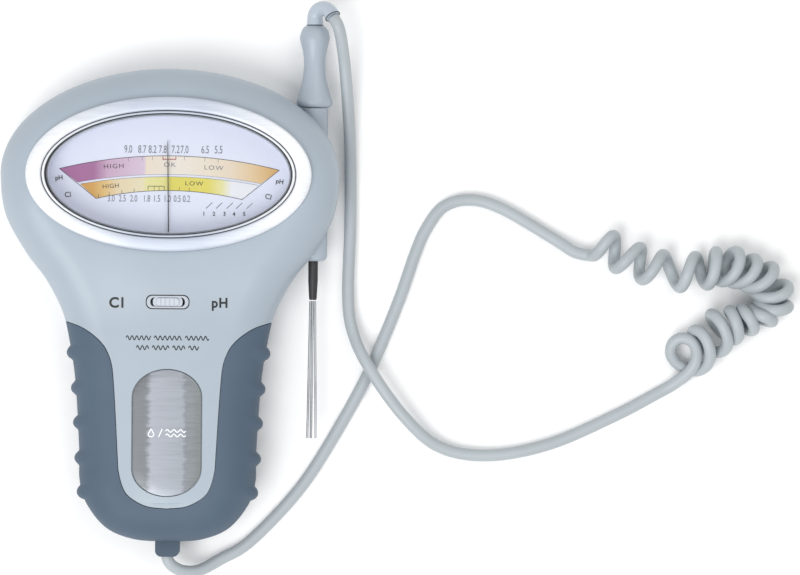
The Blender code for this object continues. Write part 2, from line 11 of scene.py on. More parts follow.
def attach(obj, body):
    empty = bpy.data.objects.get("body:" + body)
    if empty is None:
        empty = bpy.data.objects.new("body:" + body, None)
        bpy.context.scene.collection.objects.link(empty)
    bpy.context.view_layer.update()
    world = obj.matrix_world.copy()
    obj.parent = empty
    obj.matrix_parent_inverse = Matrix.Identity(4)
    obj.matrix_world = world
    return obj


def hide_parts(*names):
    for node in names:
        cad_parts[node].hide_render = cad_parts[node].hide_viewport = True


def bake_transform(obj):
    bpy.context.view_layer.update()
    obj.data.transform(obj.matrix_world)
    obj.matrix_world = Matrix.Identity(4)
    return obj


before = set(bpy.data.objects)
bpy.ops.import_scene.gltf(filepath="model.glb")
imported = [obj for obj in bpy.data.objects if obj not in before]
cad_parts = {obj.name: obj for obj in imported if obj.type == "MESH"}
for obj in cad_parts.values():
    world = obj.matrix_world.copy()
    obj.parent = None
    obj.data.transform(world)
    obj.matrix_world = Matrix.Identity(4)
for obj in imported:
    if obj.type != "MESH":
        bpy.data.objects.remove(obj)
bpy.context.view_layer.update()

# Lengths are in millimetres, as in the CAD. +Z comes out of the dial and +Y points to the head.
MM = 0.001
PARTING_Z = 17.0
HALF_GAP = 0.15
HEAD_Y = 37.2
HEAD_A = 61.0
HEAD_B = 38.2
HEAD_Z = 32.0
GRIP_Z = 29.5
CROWN = 0.8
EDGE_FRONT = 14.0
EDGE_BACK = 10.0
WALL = 3.0
GRIP_THICK = 1.3
GRIP_START_Y = -15.6
PIVOT_Y = 9.2
SWITCH_Y = -8.5
LABEL_Y = -55.4
PROBE_X = 51.7
PROBE_Z = 10.5
CORD_R = 2.15
FLOOR_Z = -0.3
DIAL_TOP = 24.0
LABEL_TOP = 30.38
LABEL_HALF = 12.4
LABEL_SAG = 0.5
# The gap left round a part that sits in a pocket.
FIT = 0.3

scene = bpy.context.scene

# ---- Camera ----

camera_data = bpy.data.cameras.new("camera")
camera_data.lens = 300
camera_data.sensor_width = 36
camera_data.clip_end = 30
camera = bpy.data.objects.new("camera", camera_data)
camera.location = (0.08312, -0.00264, 2.417)
camera.rotation_euler = (0.0, 0.0, 0.008)
scene.collection.objects.link(camera)
scene.camera = camera


# ---- Building blocks ----


def mesh_piece(name, verts, faces, body, slot_name, sharp=35.0):
    """A smooth-shaded mesh piece from millimetre points, riding on a body."""
    mesh = bpy.data.meshes.new(name)
    mesh.from_pydata([Vector(v) * MM for v in verts], [], faces)
    shape = bmesh.new()
    shape.from_mesh(mesh)
    bmesh.ops.recalc_face_normals(shape, faces=shape.faces)
    shape.to_mesh(mesh)
    shape.free()
    mesh.shade_smooth()
    mesh.set_sharp_from_angle(angle=math.radians(sharp))
    obj = bpy.data.objects.new(name, mesh)
    scene.collection.objects.link(obj)
    if body:
        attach(obj, body)
    return obj


def belt(a, b, count):
    """Faces between two rings of equal count, from each ring's first point."""
    return [(a + i, a + (i + 1) % count, b + (i + 1) % count, b + i) for i in range(count)]


def loft_mesh(rings, looped=False):
    """Points and faces that join rings of equal count."""
    count = len(rings[0])
    verts = [p for ring in rings for p in ring]
    faces = []
    for k in range(len(rings) if looped else len(rings) - 1):
        faces += belt(k * count, (k + 1) % len(rings) * count, count)
    if not looped:
        faces += [tuple(range(count)), tuple(range(len(verts) - count, len(verts)))]
    return verts, faces


def flat(points, z):
    return [(x, y, z) for x, y in points]


def prism(points, low, high):
    return loft_mesh([flat(points, low), flat(points, high)])


def rectangle(left, right, low, high):
    return [(left, low), (right, low), (right, high), (left, high)]


def circle(n):
    """Angles of n even steps round a turn."""
    return [2 * math.pi * k / n for k in range(n)]


def ellipse(a, b, n=160):
    turns = [2 * math.pi * (k + 0.5) / n for k in range(n)]
    return [(a * math.cos(t), HEAD_Y + b * math.sin(t)) for t in turns]


def round_slot(half_x, half_y, corner):
    """The switch's rectangle with round corners."""
    points = []
    for sx, sy, first in ((1, 1, 0), (-1, 1, 90), (-1, -1, 180), (1, -1, 270)):
        for k in range(9):
            t = math.radians(first + 90 * k / 8)
            x = sx * (half_x - corner) + corner * math.cos(t)
            points.append((x, SWITCH_Y + sy * (half_y - corner) + corner * math.sin(t)))
    return points


def capsule(grow):
    """The label's outline: straight sides with half-ellipse ends."""
    a = LABEL_HALF + grow
    b = 10.0 + grow
    turns = [math.pi * k / 28 for k in range(29)]
    top = [(a * math.cos(t), 12.65 + b * math.sin(t)) for t in turns]
    return [(x, LABEL_Y + y) for x, y in top] + [(-x, LABEL_Y - y) for x, y in top]


def spline_point(p0, p1, p2, p3, t):
    """A point of the Catmull-Rom curve from p1 to p2."""
    turn = p1 * 2 + (p2 - p0) * t + (p0 * 2 - p1 * 5 + p2 * 4 - p3) * t**2
    return (turn + (p1 * 3 - p0 - p2 * 3 + p3) * t**3) / 2


def smooth(points, per_span):
    """A Catmull-Rom curve through the points."""
    ends = [Vector(points[0]) * 2 - Vector(points[1])]
    ends += [Vector(p) for p in points]
    ends += [Vector(points[-1]) * 2 - Vector(points[-2])]
    curve = []
    for k in range(1, len(ends) - 2):
        near = ends[k - 1 : k + 3]
        curve += [spline_point(*near, step / per_span) for step in range(per_span)]
    curve.append(ends[-2])
    return curve


def eased(t):
    """A smooth step from 0 to 1."""
    t = min(1.0, max(0.0, t))
    return t * t * (3 - 2 * t)


def evenly(points, step):
    """The points of a polyline respaced at about one step."""
    run = [0.0]
    for a, b in zip(points, points[1:]):
        run.append(run[-1] + (b - a).length)
    count = max(1, round(run[-1] / step))
    spaced = []
    k = 0
    for place in range(count + 1):
        goal = run[-1] * place / count
        while k < len(run) - 2 and run[k + 1] < goal:
            k += 1
        share = (goal - run[k]) / max(1e-9, run[k + 1] - run[k])
        spaced.append(points[k].lerp(points[k + 1], share))
    return spaced


def bridge(first, second, count):
    """Points of a cubic from one line's end to the next line's start, along the way of each."""
    start = first[-1]
    end = second[0]
    reach = (end - start).length
    leaving = (start - first[-2]).normalized() * reach
    arriving = (second[1] - end).normalized() * reach
    found = []
    for k in range(1, count):
        t = k / count
        found.append(
            start * (2 * t**3 - 3 * t**2 + 1)
            + leaving * (t**3 - 2 * t**2 + t)
            + end * (3 * t**2 - 2 * t**3)
            + arriving * (t**3 - t**2)
        )
    return found


def heading(points, k):
    """The way of a line at one of its points."""
    return points[min(k + 1, len(points) - 1)] - points[max(k - 1, 0)]


def tube_mesh(points, radii, n):
    """A closed tube along a line, its rings carried along without twist."""
    rings = []
    side = heading(points, 0).normalized().orthogonal()
    for k, p in enumerate(points):
        along = heading(points, k).normalized()
        side = (side - along * side.dot(along)).normalized()
        other = along.cross(side)
        rings.append([p + (side * math.cos(t) + other * math.sin(t)) * radii[k] for t in circle(n)])
    return loft_mesh(rings)


def turned_mesh(profile, y0, looped=False):
    """A shape turned about the probe's line, from (radius, distance from y0) points."""
    rings = []
    for r, y in profile:
        ring = [(PROBE_X + r * math.cos(t), y0 + y, PROBE_Z + r * math.sin(t)) for t in circle(48)]
        rings.append(ring)
    return loft_mesh(rings, looped)


# ---- The free cord: it repeats the CAD's route, with the coil's turns wound on it ----

LOWER = [
    (0.0, -98.5, 12.0),
    (0.0, -101.0, 11.9),
    (1.6, -103.6, 11.0),
    (5.6, -105.6, 8.8),
    (11.5, -105.4, 5.9),
    (19.1, -101.4, 3.0),
    (29.3, -95.2, 2.2),
    (45.6, -78.0, 2.2),
    (57.3, -60.6, 2.2),
    (71.5, -34.6, 2.2),
    (82.3, -8.6, 2.2),
    (88.3, 9.0, 2.2),
    (92.2, 18.2, 2.2),
    (98.5, 26.6, 2.2),
    (108.1, 29.3, 2.2),
    (119.6, 26.3, 2.2),
    (137.0, 16.4, 2.2),
    (145.0, 11.3, 3.4),
]
UPPER = [
    (177.7, -39.6, 2.2),
    (161.6, -48.3, 2.2),
    (138.0, -58.8, 2.2),
    (116.0, -63.2, 2.2),
    (98.0, -60.3, 3.0),
    (84.6, -48.9, 6.2),
    (72.2, -31.7, 7.4),
    (66.2, -19.0, 4.6),
    (64.3, -5.8, 3.0),
    (64.9, 19.0, 2.6),
    (64.8, 43.1, 3.0),
    (64.0, 60.0, 5.4),
    (62.7, 76.0, 10.6),
    (61.6, 84.6, 15.2),
    (60.7, 89.4, 17.6),
    (59.7, 92.2, 18.3),
    (58.6, 93.95, 17.45),
]
# Each turn of the coil: its outer side, its inner side, and how far its top leans, as X and Y.
TURNS = [
    (160.3, 16.7, 160.9, 4.9, 0.0, 0.0),
    (169.9, 12.5, 170.5, 0.9, 0.0, 0.0),
    (178.2, 10.0, 184.3, -1.8, 0.0, 0.0),
    (189.7, 9.4, 194.2, -0.8, 0.0, 0.0),
    (197.2, 11.2, 199.8, 0.4, 1.5, 0.0),
    (204.3, 11.3, 204.3, -0.2, 3.8, 0.0),
    (211.2, 8.7, 208.2, -1.4, 3.3, -1.0),
    (217.9, 5.7, 211.6, -3.5, 2.4, -2.2),
    (223.4, -1.3, 213.0, -7.2, 1.4, -3.3),
    (223.4, -8.2, 210.6, -9.9, 0.2, -2.3),
    (217.6, -13.9, 206.6, -9.4, 0.0, -0.4),
    (210.6, -17.1, 202.2, -10.0, 0.5, 0.3),
    (204.8, -20.3, 195.6, -11.4, 1.2, 0.9),
    (200.3, -24.4, 189.5, -17.4, 2.6, 1.8),
    (193.9, -30.3, 181.3, -25.0, 2.8, 3.2),
    (190.6, -33.6, 178.0, -31.5, 2.8, 3.6),
]
# The last turn lies flat, on its way back to the probe.
LAST_LOOP = [
    (187.2, -31.3, 2.3),
    (183.6, -29.3, 2.6),
    (181.4, -25.9, 3.8),
    (181.9, -22.2, 5.4),
    (185.0, -20.1, 6.8),
    (188.6, -21.2, 7.8),
    (190.5, -24.7, 8.2),
    (190.0, -29.0, 7.9),
    (187.3, -33.0, 6.2),
    (183.0, -36.4, 3.6),
]
COIL_FIRST_INNER = (152.8, 9.4)
COIL_TURN_R = 5.85
COIL_LOW = 2.3
COIL_START = -0.5
COIL_END = 14.06
# Turns over which the coil winds up to its full height.
COIL_LEAD = 0.6
COIL_STEPS = 32


def rail(points, place):
    """A point of a smooth line whose points are one turn apart."""
    k = min(len(points) - 2, max(0, math.floor(place)))
    p1 = points[k]
    p2 = points[k + 1]
    p0 = points[k - 1] if k else p1 * 2 - p2
    p3 = points[k + 2] if k + 2 < len(points) else p2 * 2 - p1
    return spline_point(p0, p1, p2, p3, place - k)


def coil_line():
    """The wound part of the cord, whose turns go from their outer to their inner side and back."""
    outer = [Vector(t[:2]) for t in TURNS]
    inner = [Vector(COIL_FIRST_INNER)] + [Vector(t[2:4]) for t in TURNS]
    lean = [Vector(t[4:]) for t in TURNS]
    found = []
    for k in range(round(COIL_START * COIL_STEPS), round(COIL_END * COIL_STEPS) + 1):
        u = k / COIL_STEPS
        angle = 2 * math.pi * u
        first = rail(outer, u)
        second = rail(inner, u + 0.5)
        tilt = rail(lean, u)
        rise = math.sqrt(COIL_TURN_R**2 - tilt.length_squared)
        wound = 0.5 + 0.5 * eased((u - COIL_START) / COIL_LEAD)
        spot = (first + second) / 2 + (first - second) / 2 * math.cos(angle)
        spot -= tilt * math.sin(angle)
        lift = rise * (1 - math.sin(angle)) * wound
        found.append(Vector((spot.x, spot.y, COIL_LOW + lift)))
    return found


lower_line = smooth(LOWER, 10)
coil_run = coil_line()
loop_line = smooth(LAST_LOOP, 8)
upper_line = smooth(UPPER, 10)
cord_line = lower_line + bridge(lower_line, coil_run, 8) + coil_run
cord_line += bridge(coil_run, loop_line, 8) + loop_line
cord_line += bridge(loop_line, upper_line, 6) + upper_line
cord_line = evenly(cord_line, 1.1)
cord_length = sum((b - a).length for a, b in zip(cord_line, cord_line[1:]))
print("cord length, mm:", round(cord_length, 1))

cord = mesh_piece("cord", *tube_mesh(cord_line, [CORD_R] * len(cord_line), 16), None, "cord", 80.0)
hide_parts("cord_lead_lower", "cord_coil", "cord_lead_upper")
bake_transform(cord)

# ---- Light and floor ----

scene.view_settings.view_transform = "Standard"
world = bpy.data.worlds.new("studio")
world.use_nodes = True
sky = world.node_tree.nodes["Background"].inputs
sky["Color"].default_value = (1.0, 1.0, 1.0, 1.0)
sky["Strength"].default_value = 0.62
scene.world = world


def soft_light(name, size, energy, place):
    """A square light that faces the object."""
    data = bpy.data.lights.new(name, "AREA")
    data.size = size
    data.energy = energy
    obj = bpy.data.objects.new(name, data)
    obj.location = place
    facing = Vector((0.05, 0.0, 0.0)) - Vector(place)
    obj.rotation_euler = facing.to_track_quat("-Z", "Y").to_euler()
    scene.collection.objects.link(obj)


soft_light("key_light", 1.5, 36.0, (-0.7, -1.0, 2.0))
soft_light("fill_light", 1.6, 12.0, (0.9, 1.0, 1.9))

mesh = bpy.data.meshes.new("floor")
mesh.from_pydata(flat(rectangle(-6.0, 6.0, -6.0, 6.0), FLOOR_Z * MM), [], [(0, 1, 2, 3)])
paper = bpy.data.materials.new("floor_paper")
paper.use_nodes = True
shader = paper.node_tree.nodes["Principled BSDF"]
shader.inputs["Base Color"].default_value = (0.98, 0.98, 0.98, 1.0)
shader.inputs["Roughness"].default_value = 0.9
mesh.materials.append(paper)
obj = bpy.data.objects.new("floor", mesh)
scene.collection.objects.link(obj)

# ---- Materials ----


def linear(code):
    """A linear colour from an sRGB hex code."""
    found = []
    for k in (0, 2, 4):
        c = int(code[k : k + 2], 16) / 255
        found.append(c / 12.92 if c <= 0.04045 else ((c + 0.055) / 1.055) ** 2.4)
    return (*found, 1.0)


def shade(color, factor):
    return (*[min(1.0, c * factor) for c in color[:3]], 1.0)


def grey(level):
    return (level, level, level, 1.0)


class Skin:
    """A material: a Principled shader with noise-driven colour, roughness and bump."""

    def __init__(self, name, metallic=0.0):
        self.material = bpy.data.materials.new(name)
        self.material.use_nodes = True
        self.tree = self.material.node_tree
        self.shader = self.tree.nodes["Principled BSDF"]
        self.shader.inputs["Metallic"].default_value = metallic
        self.coords = self.tree.nodes.new("ShaderNodeTexCoord").outputs["Object"]

    def link(self, a, b):
        self.tree.links.new(a, b)

    def new(self, kind, **settings):
        made = self.tree.nodes.new("ShaderNode" + kind)
        for key, value in settings.items():
            setattr(made, key, value)
        return made

    def noise(self, scale, detail, stretch=(1.0, 1.0, 1.0)):
        """A noise of about 1/scale metres, squeezed along the axes by stretch."""
        mapping = self.new("Mapping")
        mapping.inputs["Scale"].default_value = stretch
        self.link(self.coords, mapping.inputs["Vector"])
        made = self.new("TexNoise")
        made.inputs["Scale"].default_value = scale
        made.inputs["Detail"].default_value = detail
        made.inputs["Roughness"].default_value = 0.55
        self.link(mapping.outputs["Vector"], made.inputs["Vector"])
        return made.outputs["Fac"]

    def axis(self, letter):
        made = self.new("SeparateXYZ")
        self.link(self.coords, made.inputs["Vector"])
        return made.outputs[letter]

    def math(self, operation, a, b=None):
        made = self.new("Math", operation=operation)
        for socket, value in zip(made.inputs, (a, b)):
            if isinstance(value, (int, float)):
                socket.default_value = value
            elif value is not None:
                self.link(value, socket)
        return made.outputs["Value"]

    def span(self, value, low, high, to_low=0.0, to_high=1.0):
        made = self.new("MapRange")
        self.link(value, made.inputs["Value"])
        ends = {"From Min": low, "From Max": high, "To Min": to_low, "To Max": to_high}
        for key, number in ends.items():
            made.inputs[key].default_value = number
        return made.outputs["Result"]

    def ramp(self, value, stops):
        """A colour ramp from (position, colour) stops."""
        made = self.new("ValToRGB")
        elements = made.color_ramp.elements
        while len(elements) < len(stops):
            elements.new(0.5)
        for element, (place, color) in zip(elements, stops):
            element.position = place
            element.color = color
        self.link(value, made.inputs["Fac"])
        return made.outputs["Color"]

    def color(self, value):
        self.link(value, self.shader.inputs["Base Color"])

    def drifting(self, value, base, spread):
        """Base colour that drifts a little darker and lighter with a value."""
        stops = [(0.3, shade(base, 1 - spread)), (0.7, shade(base, 1 + spread))]
        self.color(self.ramp(value, stops))

    def darkened(self, a, b):
        """Base colour that is one colour times another."""
        made = self.new("Mix", data_type="RGBA", blend_type="MULTIPLY")
        sockets = {s.identifier: s for s in made.inputs}
        sockets["Factor_Float"].default_value = 1.0
        self.link(a, sockets["A_Color"])
        self.link(b, sockets["B_Color"])
        self.color(next(s for s in made.outputs if s.identifier == "Result_Color"))

    def roughness(self, value, low, high):
        self.link(self.span(value, 0.3, 0.7, low, high), self.shader.inputs["Roughness"])

    def bump(self, value, height):
        """Relief of a height in millimetres."""
        made = self.new("Bump")
        made.inputs["Strength"].default_value = 1.0
        made.inputs["Distance"].default_value = height * MM
        self.link(value, made.inputs["Height"])
        self.link(made.outputs["Normal"], self.shader.inputs["Normal"])


def moulded(name, code, rough, grain, height, mottle, light=1.0):
    """Moulded plastic or rubber: faint colour drift, fine grain and uneven gloss."""
    skin = Skin(name)
    skin.drifting(skin.noise(45.0, 2.0), shade(linear(code), light), mottle)
    fine = skin.noise(1.0 / (grain * MM), 4.0)
    skin.roughness(fine, rough - 0.05, rough + 0.05)
    skin.bump(fine, height)
    return skin.material


def brushed(name, code, rough, stretch):
    """Metal drawn along one axis: streaks in colour, gloss and relief."""
    skin = Skin(name, 1.0)
    lines = skin.noise(900.0, 5.0, stretch)
    skin.drifting(lines, linear(code), 0.06)
    skin.roughness(lines, rough - 0.06, rough + 0.06)
    skin.bump(lines, 0.01)
    return skin.material


# A surface is painted this much darker than it looks under these lights.
PAINT = 0.75
BAND_PAINT = 0.84
case_skin = moulded("case_plastic", "b9c6d2", 0.42, 0.35, 0.008, 0.02, PAINT)
rear_skin = moulded("case_plastic_rear", "b9c6d2", 0.5, 0.5, 0.02, 0.02, PAINT)
grip_skin = moulded("grip_rubber", "5a6f84", 0.62, 0.3, 0.02, 0.05, 0.66)
gland_skin = moulded("gland_rubber", "51667a", 0.6, 0.3, 0.02, 0.05, 0.66)
cord_skin = moulded("cord_vinyl", "c0c9ce", 0.45, 0.6, 0.012, 0.03, 0.75)
handle_skin = moulded("handle_plastic", "b9c5d1", 0.38, 0.4, 0.01, 0.03, PAINT)
elbow_skin = moulded("milky_strain_relief", "cbd7e4", 0.3, 0.8, 0.01, 0.05, 0.72)
sleeve_skin = moulded("sleeve_black", "3a3a3c", 0.45, 0.3, 0.015, 0.08, 0.6)
knob_skin = moulded("knob_plastic", "d2d8e2", 0.4, 0.3, 0.01, 0.02, 0.85)
guide_skin = moulded("guide_plastic", "cbd2dc", 0.5, 0.3, 0.01, 0.03, 0.8)
# Slate for the elbow's joint line and for the painted shadow round its mouth.
seam_and_shadow_skin = moulded("seam_and_shadow_slate", "39424c", 0.6, 0.3, 0.01, 0.05)
# Black for the real lens gasket, and for the painted shade lines in the gaps round the bezel, lens
# and switch.
seal_and_shade_skin = moulded("black_seal", "1d2024", 0.6, 0.3, 0.02, 0.05)
ink_skin = moulded("ink_black", "101318", 0.55, 0.3, 0.004, 0.05)
white_ink_skin = moulded("ink_white", "f4f7fb", 0.5, 0.3, 0.004, 0.01)
red_ink_skin = moulded("ink_red_brown", "b06a68", 0.55, 0.3, 0.004, 0.05)
soft_ink_skin = moulded("ink_grey", "6d6f78", 0.55, 0.3, 0.004, 0.05)
card_skin = moulded("dial_card", "dde0ec", 0.6, 0.2, 0.004, 0.01)
board_skin = moulded("board_green", "1c5b32", 0.45, 0.6, 0.02, 0.1)
tan_skin = moulded("resistor_tan", "b59a72", 0.5, 0.5, 0.02, 0.06)
blue_skin = moulded("trimmer_blue", "2a4c94", 0.4, 0.5, 0.02, 0.06)
red_skin = moulded("wire_red", "a12a26", 0.5, 0.5, 0.02, 0.06)
steel_skin = brushed("steel_drawn", "c2c5c9", 0.28, (1.0, 0.06, 1.0))
bracket_skin = brushed("steel_plate", "b9bcc0", 0.34, (0.06, 1.0, 1.0))
brass_skin = brushed("brass", "c9a35a", 0.3, (1.0, 1.0, 0.1))
iron_skin = brushed("magnet_iron", "74777b", 0.45, (1.0, 1.0, 0.1))
copper_skin = brushed("coil_copper", "b8693c", 0.4, (1.0, 1.0, 0.02))
needle_skin = moulded("needle_black", "15171a", 0.45, 0.3, 0.004, 0.05)


def bezel_material():
    """Silver trim, brushed across, with a painted highlight that makes its two ends lighter."""
    skin = Skin("bezel_silver", 0.2)
    lines = skin.noise(1400.0, 5.0, (0.03, 1.0, 0.6))
    # Painted highlight: the colour turns lighter towards the trim's two ends.
    ends = skin.span(skin.math("ABSOLUTE", skin.axis("X")), 0.012, 0.042)
    base = skin.ramp(ends, [(0.0, linear("c2cad8")), (1.0, linear("eceff3"))])
    streaks = skin.ramp(lines, [(0.3, (0.88, 0.88, 0.89, 1.0)), (0.7, grey(1.0))])
    skin.darkened(base, streaks)
    skin.roughness(lines, 0.4, 0.5)
    skin.bump(lines, 0.012)
    return skin.material


def label_material():
    """A brushed foil plate, bright down its middle and darker at its sides with ragged borders."""
    skin = Skin("label_foil", 0.6)
    lines = skin.noise(1500.0, 5.0, (0.05, 1.0, 1.0))
    coarse = skin.noise(500.0, 4.0, (0.25, 1.0, 1.0))
    ragged = skin.span(coarse, 0.3, 0.7, -0.0011, 0.0011)
    shifted = skin.math("ADD", skin.axis("X"), ragged)
    zone = skin.span(shifted, -LABEL_HALF * MM, LABEL_HALF * MM)
    tones = {0.0: "6f7276", 0.2: "777b7f", 0.27: "9da1aa"}
    tones |= {0.72: "9ca1a9", 0.77: "878c92", 1.0: "858b8b"}
    base = skin.ramp(zone, [(place, linear(code)) for place, code in tones.items()])
    streaks = skin.ramp(lines, [(0.3, grey(0.93)), (0.7, grey(1.05))])
    skin.darkened(base, streaks)
    skin.roughness(lines, 0.34, 0.5)
    skin.bump(lines, 0.008)
    return skin.material


def band_material(name, stops):
    """Printed colours that follow one another along the scale."""
    skin = Skin(name)
    place = skin.span(skin.axis("X"), -0.040, 0.040)
    colors = [((x + 40) / 80, shade(linear(code), BAND_PAINT)) for x, code in stops.items()]
    base = skin.ramp(place, colors)
    dots = skin.noise(2500.0, 2.0)
    paper = skin.ramp(dots, [(0.35, grey(0.96)), (0.65, grey(1.0))])
    skin.darkened(base, paper)
    skin.roughness(dots, 0.5, 0.6)
    skin.bump(dots, 0.003)
    return skin.material


def lens_material():
    """Clear acrylic: light passes straight through, with a gloss that grows at grazing angles."""
    skin = Skin("clear_lens")
    clear = skin.new("BsdfTransparent")
    clear.inputs["Color"].default_value = (0.975, 0.98, 0.99, 1.0)
    gloss = skin.new("BsdfAnisotropic")
    gloss.inputs["Color"].default_value = grey(1.0)
    gloss.inputs["Roughness"].default_value = 0.04
    facing = skin.new("LayerWeight")
    facing.inputs["Blend"].default_value = 0.5
    grazing = skin.math("POWER", facing.outputs["Facing"], 5.0)
    gloss_share = skin.math("ADD", skin.math("MULTIPLY", grazing, 0.96), 0.035)
    haze = skin.new("Bump")
    haze.inputs["Distance"].default_value = 0.01 * MM
    skin.link(skin.noise(60.0, 1.0), haze.inputs["Height"])
    skin.link(haze.outputs["Normal"], gloss.inputs["Normal"])
    both = skin.new("MixShader")
    skin.link(gloss_share, both.inputs["Fac"])
    skin.link(clear.outputs["BSDF"], both.inputs[1])
    skin.link(gloss.outputs["BSDF"], both.inputs[2])
    skin.link(both.outputs["Shader"], skin.tree.nodes["Material Output"].inputs["Surface"])
    return skin.material


bezel_skin = bezel_material()
label_skin = label_material()
lens_skin = lens_material()
# The bands' colours by their distance from the dial's middle.
UPPER_COLORS = {-40: "ad6399", -27: "ad6a9b", -22: "d5afc8", -9: "e6cfe0", -8.2: "f8e8d0"}
UPPER_COLORS |= {3: "faf0e0", 14: "f8ead2", 22: "f5e2c6", 29: "f2d4a4", 35: "ebbf7c", 40: "e2ab58"}
LOWER_COLORS = {-33: "dc9f3c", -27.5: "e0a84a", -23: "efc77a", -18: "f3dfb4", -9.5: "f5e8c0"}
LOWER_COLORS |= {-8.5: "f3eca4", -1.5: "f1e88c", 0.5: "ecde58", 14: "efe15e", 19: "f5eea6"}
LOWER_COLORS |= {22.5: "f8f8fa", 34: "f8f8fa"}
upper_band_skin = band_material("scale_band_upper", UPPER_COLORS)
lower_band_skin = band_material("scale_band_lower", LOWER_COLORS)


def paint(obj, material):
    """Puts a material in every slot of a piece."""
    if not obj.data.materials:
        obj.data.materials.append(material)
    for k in range(len(obj.data.materials)):
        obj.data.materials[k] = material


paint(cord, cord_skin)

# ---- The case's outer surface, by the CAD's formulas with more points ----

SIDE = [
    (61.0, 37.2),
    (60.3, 28.2),
    (57.8, 19.6),
    (50.9, 8.0),
    (44.3, -0.6),
    (38.3, -12.1),
    (35.5, -23.6),
    (33.4, -38.0),
    (31.9, -62.0),
    (31.7, -72.8),
    (29.2, -81.2),
    (22.1, -89.9),
    (12.0, -94.0),
    (0.0, -94.8),
]


def stations():
    """Each point of the case's outline with its inward normal, clockwise from the top centre."""
    right = [Vector((0.0, HEAD_Y + HEAD_B))]
    for k in range(1, 48):
        t = math.pi / 2 * (1 - k / 48)
        right.append(Vector((HEAD_A * math.cos(t), HEAD_Y + HEAD_B * math.sin(t))))
    right += evenly(smooth(SIDE, 12), 1.6)
    left = [Vector((-p.x, p.y)) for p in reversed(right[1:-1])]
    loop = right + left
    found = []
    for k, p in enumerate(loop):
        along = loop[(k + 1) % len(loop)] - loop[k - 1]
        found.append((p, Vector((along.y, -along.x)).normalized()))
    return found


def front_height(y):
    return GRIP_Z + (HEAD_Z - GRIP_Z) * eased((y + 18.0) / 32.0)


def skin_point(station, turn, depth, base_z=PARTING_Z, extra=0.0):
    """A point at a depth under the surface. Turns run from -90 on the back to 90 on the front."""
    p, inward = station
    angle = math.radians(abs(turn))
    edge = EDGE_FRONT if turn >= 0 else EDGE_BACK
    crest = p + inward * edge
    rise = front_height(crest.y) - base_z if turn >= 0 else -base_z
    rise += -depth if turn >= 0 else depth
    spot = p + inward * (depth + (edge - depth) * (1 - math.cos(angle)) + extra)
    return (spot.x, spot.y, base_z + rise * math.sin(angle))


def skin_mesh(turns, depth, columns, base_z):
    """One skin of half the case: rings from the parting line to a crowned middle."""
    loop = stations()
    count = len(loop)
    half = count // 2
    verts = [skin_point(s, turn, depth, base_z) for turn in turns for s in loop]
    faces = []
    for k in range(len(turns) - 1):
        faces += belt(k * count, (k + 1) * count, count)
    last = (len(turns) - 1) * count
    rows = [[last]]
    for i in range(1, half):
        x, y, z = verts[last + i]
        row = [last + i]
        for share in columns:
            fade = eased((16.0 - y) / 20.0) * eased((y + 84.0) / 8.0)
            row.append(len(verts))
            verts.append((x * share, y, z + CROWN * fade * (1 - share * share) ** 2))
        row.append(last + count - i)
        rows.append(row)
    rows.append([last + half])
    spans = range(len(columns) + 1)
    for upper, lower in zip(rows, rows[1:]):
        if len(upper) == 1:
            faces += [(upper[0], lower[j], lower[j + 1]) for j in spans]
        elif len(lower) == 1:
            faces += [(lower[0], upper[j], upper[j + 1]) for j in spans]
        else:
            faces += [(upper[j], upper[j + 1], lower[j + 1], lower[j]) for j in spans]
    return verts, faces, count


def shell_mesh(ring_turns, inner_turns, columns, base_z):
    """Half of the case: the outer skin, and the same again one wall inside."""
    verts, faces, count = skin_mesh(ring_turns, 0.0, columns, base_z)
    start = len(verts)
    inner_verts, inner_faces, _ = skin_mesh(inner_turns, WALL, columns, base_z)
    faces += [tuple(start + v for v in face) for face in inner_faces]
    faces += belt(0, start, count)
    return verts + inner_verts, faces


def core_mesh(turns, depth, columns, base_z, foot_z):
    """A solid inside the skin at a depth, standing on a flat foot."""
    verts, faces, count = skin_mesh(turns, depth, columns, base_z)
    start = len(verts)
    verts += [(x, y, foot_z) for x, y, _ in verts[:count]]
    faces += belt(0, start, count)
    faces.append(tuple(range(start, start + count)))
    return verts, faces


# Half-width and Y of the pale tongue that the grip leaves free.
TONGUE = [
    (36.9, -15.9),
    (31.6, -17.7),
    (27.4, -20.2),
    (23.9, -23.3),
    (21.8, -26.4),
    (20.1, -31.3),
    (19.3, -38.8),
    (18.5, -51.2),
    (17.8, -63.6),
    (17.3, -69.8),
    (15.4, -76.0),
    (12.4, -79.3),
    (7.0, -82.0),
    (0.0, -82.8),
]
tongue_half = smooth(TONGUE, 8)
tongue_line = tongue_half + [Vector((-p.x, p.y)) for p in reversed(tongue_half[:-1])]
RIBS = [-27.0, -39.7, -52.1, -64.8, -77.2]
# An edge of the tongue further off than this is its far one.
TONGUE_REACH = 18.0


def to_tongue(p, inward):
    """How far the tongue's near edge is from an outline point, along its inward normal."""
    nearest = TONGUE_REACH
    for a, b in zip(tongue_line, tongue_line[1:]):
        edge = b - a
        cross = inward.x * edge.y - inward.y * edge.x
        if abs(cross) < 1e-9:
            continue
        away = a - p
        reach = (away.x * edge.y - away.y * edge.x) / cross
        share = (away.x * inward.y - away.y * inward.x) / cross
        if 0.0 <= share <= 1.0 and 0.0 < reach < nearest:
            nearest = reach
    return nearest if nearest < TONGUE_REACH else 0.0


def rib_height(y, turn):
    """How far a rib stands out of the grip's edge."""
    stand = max(max(0.0, 1 - ((y - middle) / 2.4) ** 2) ** 0.7 for middle in RIBS)
    return 1.8 * stand * eased((50.0 - abs(turn)) / 36.0)


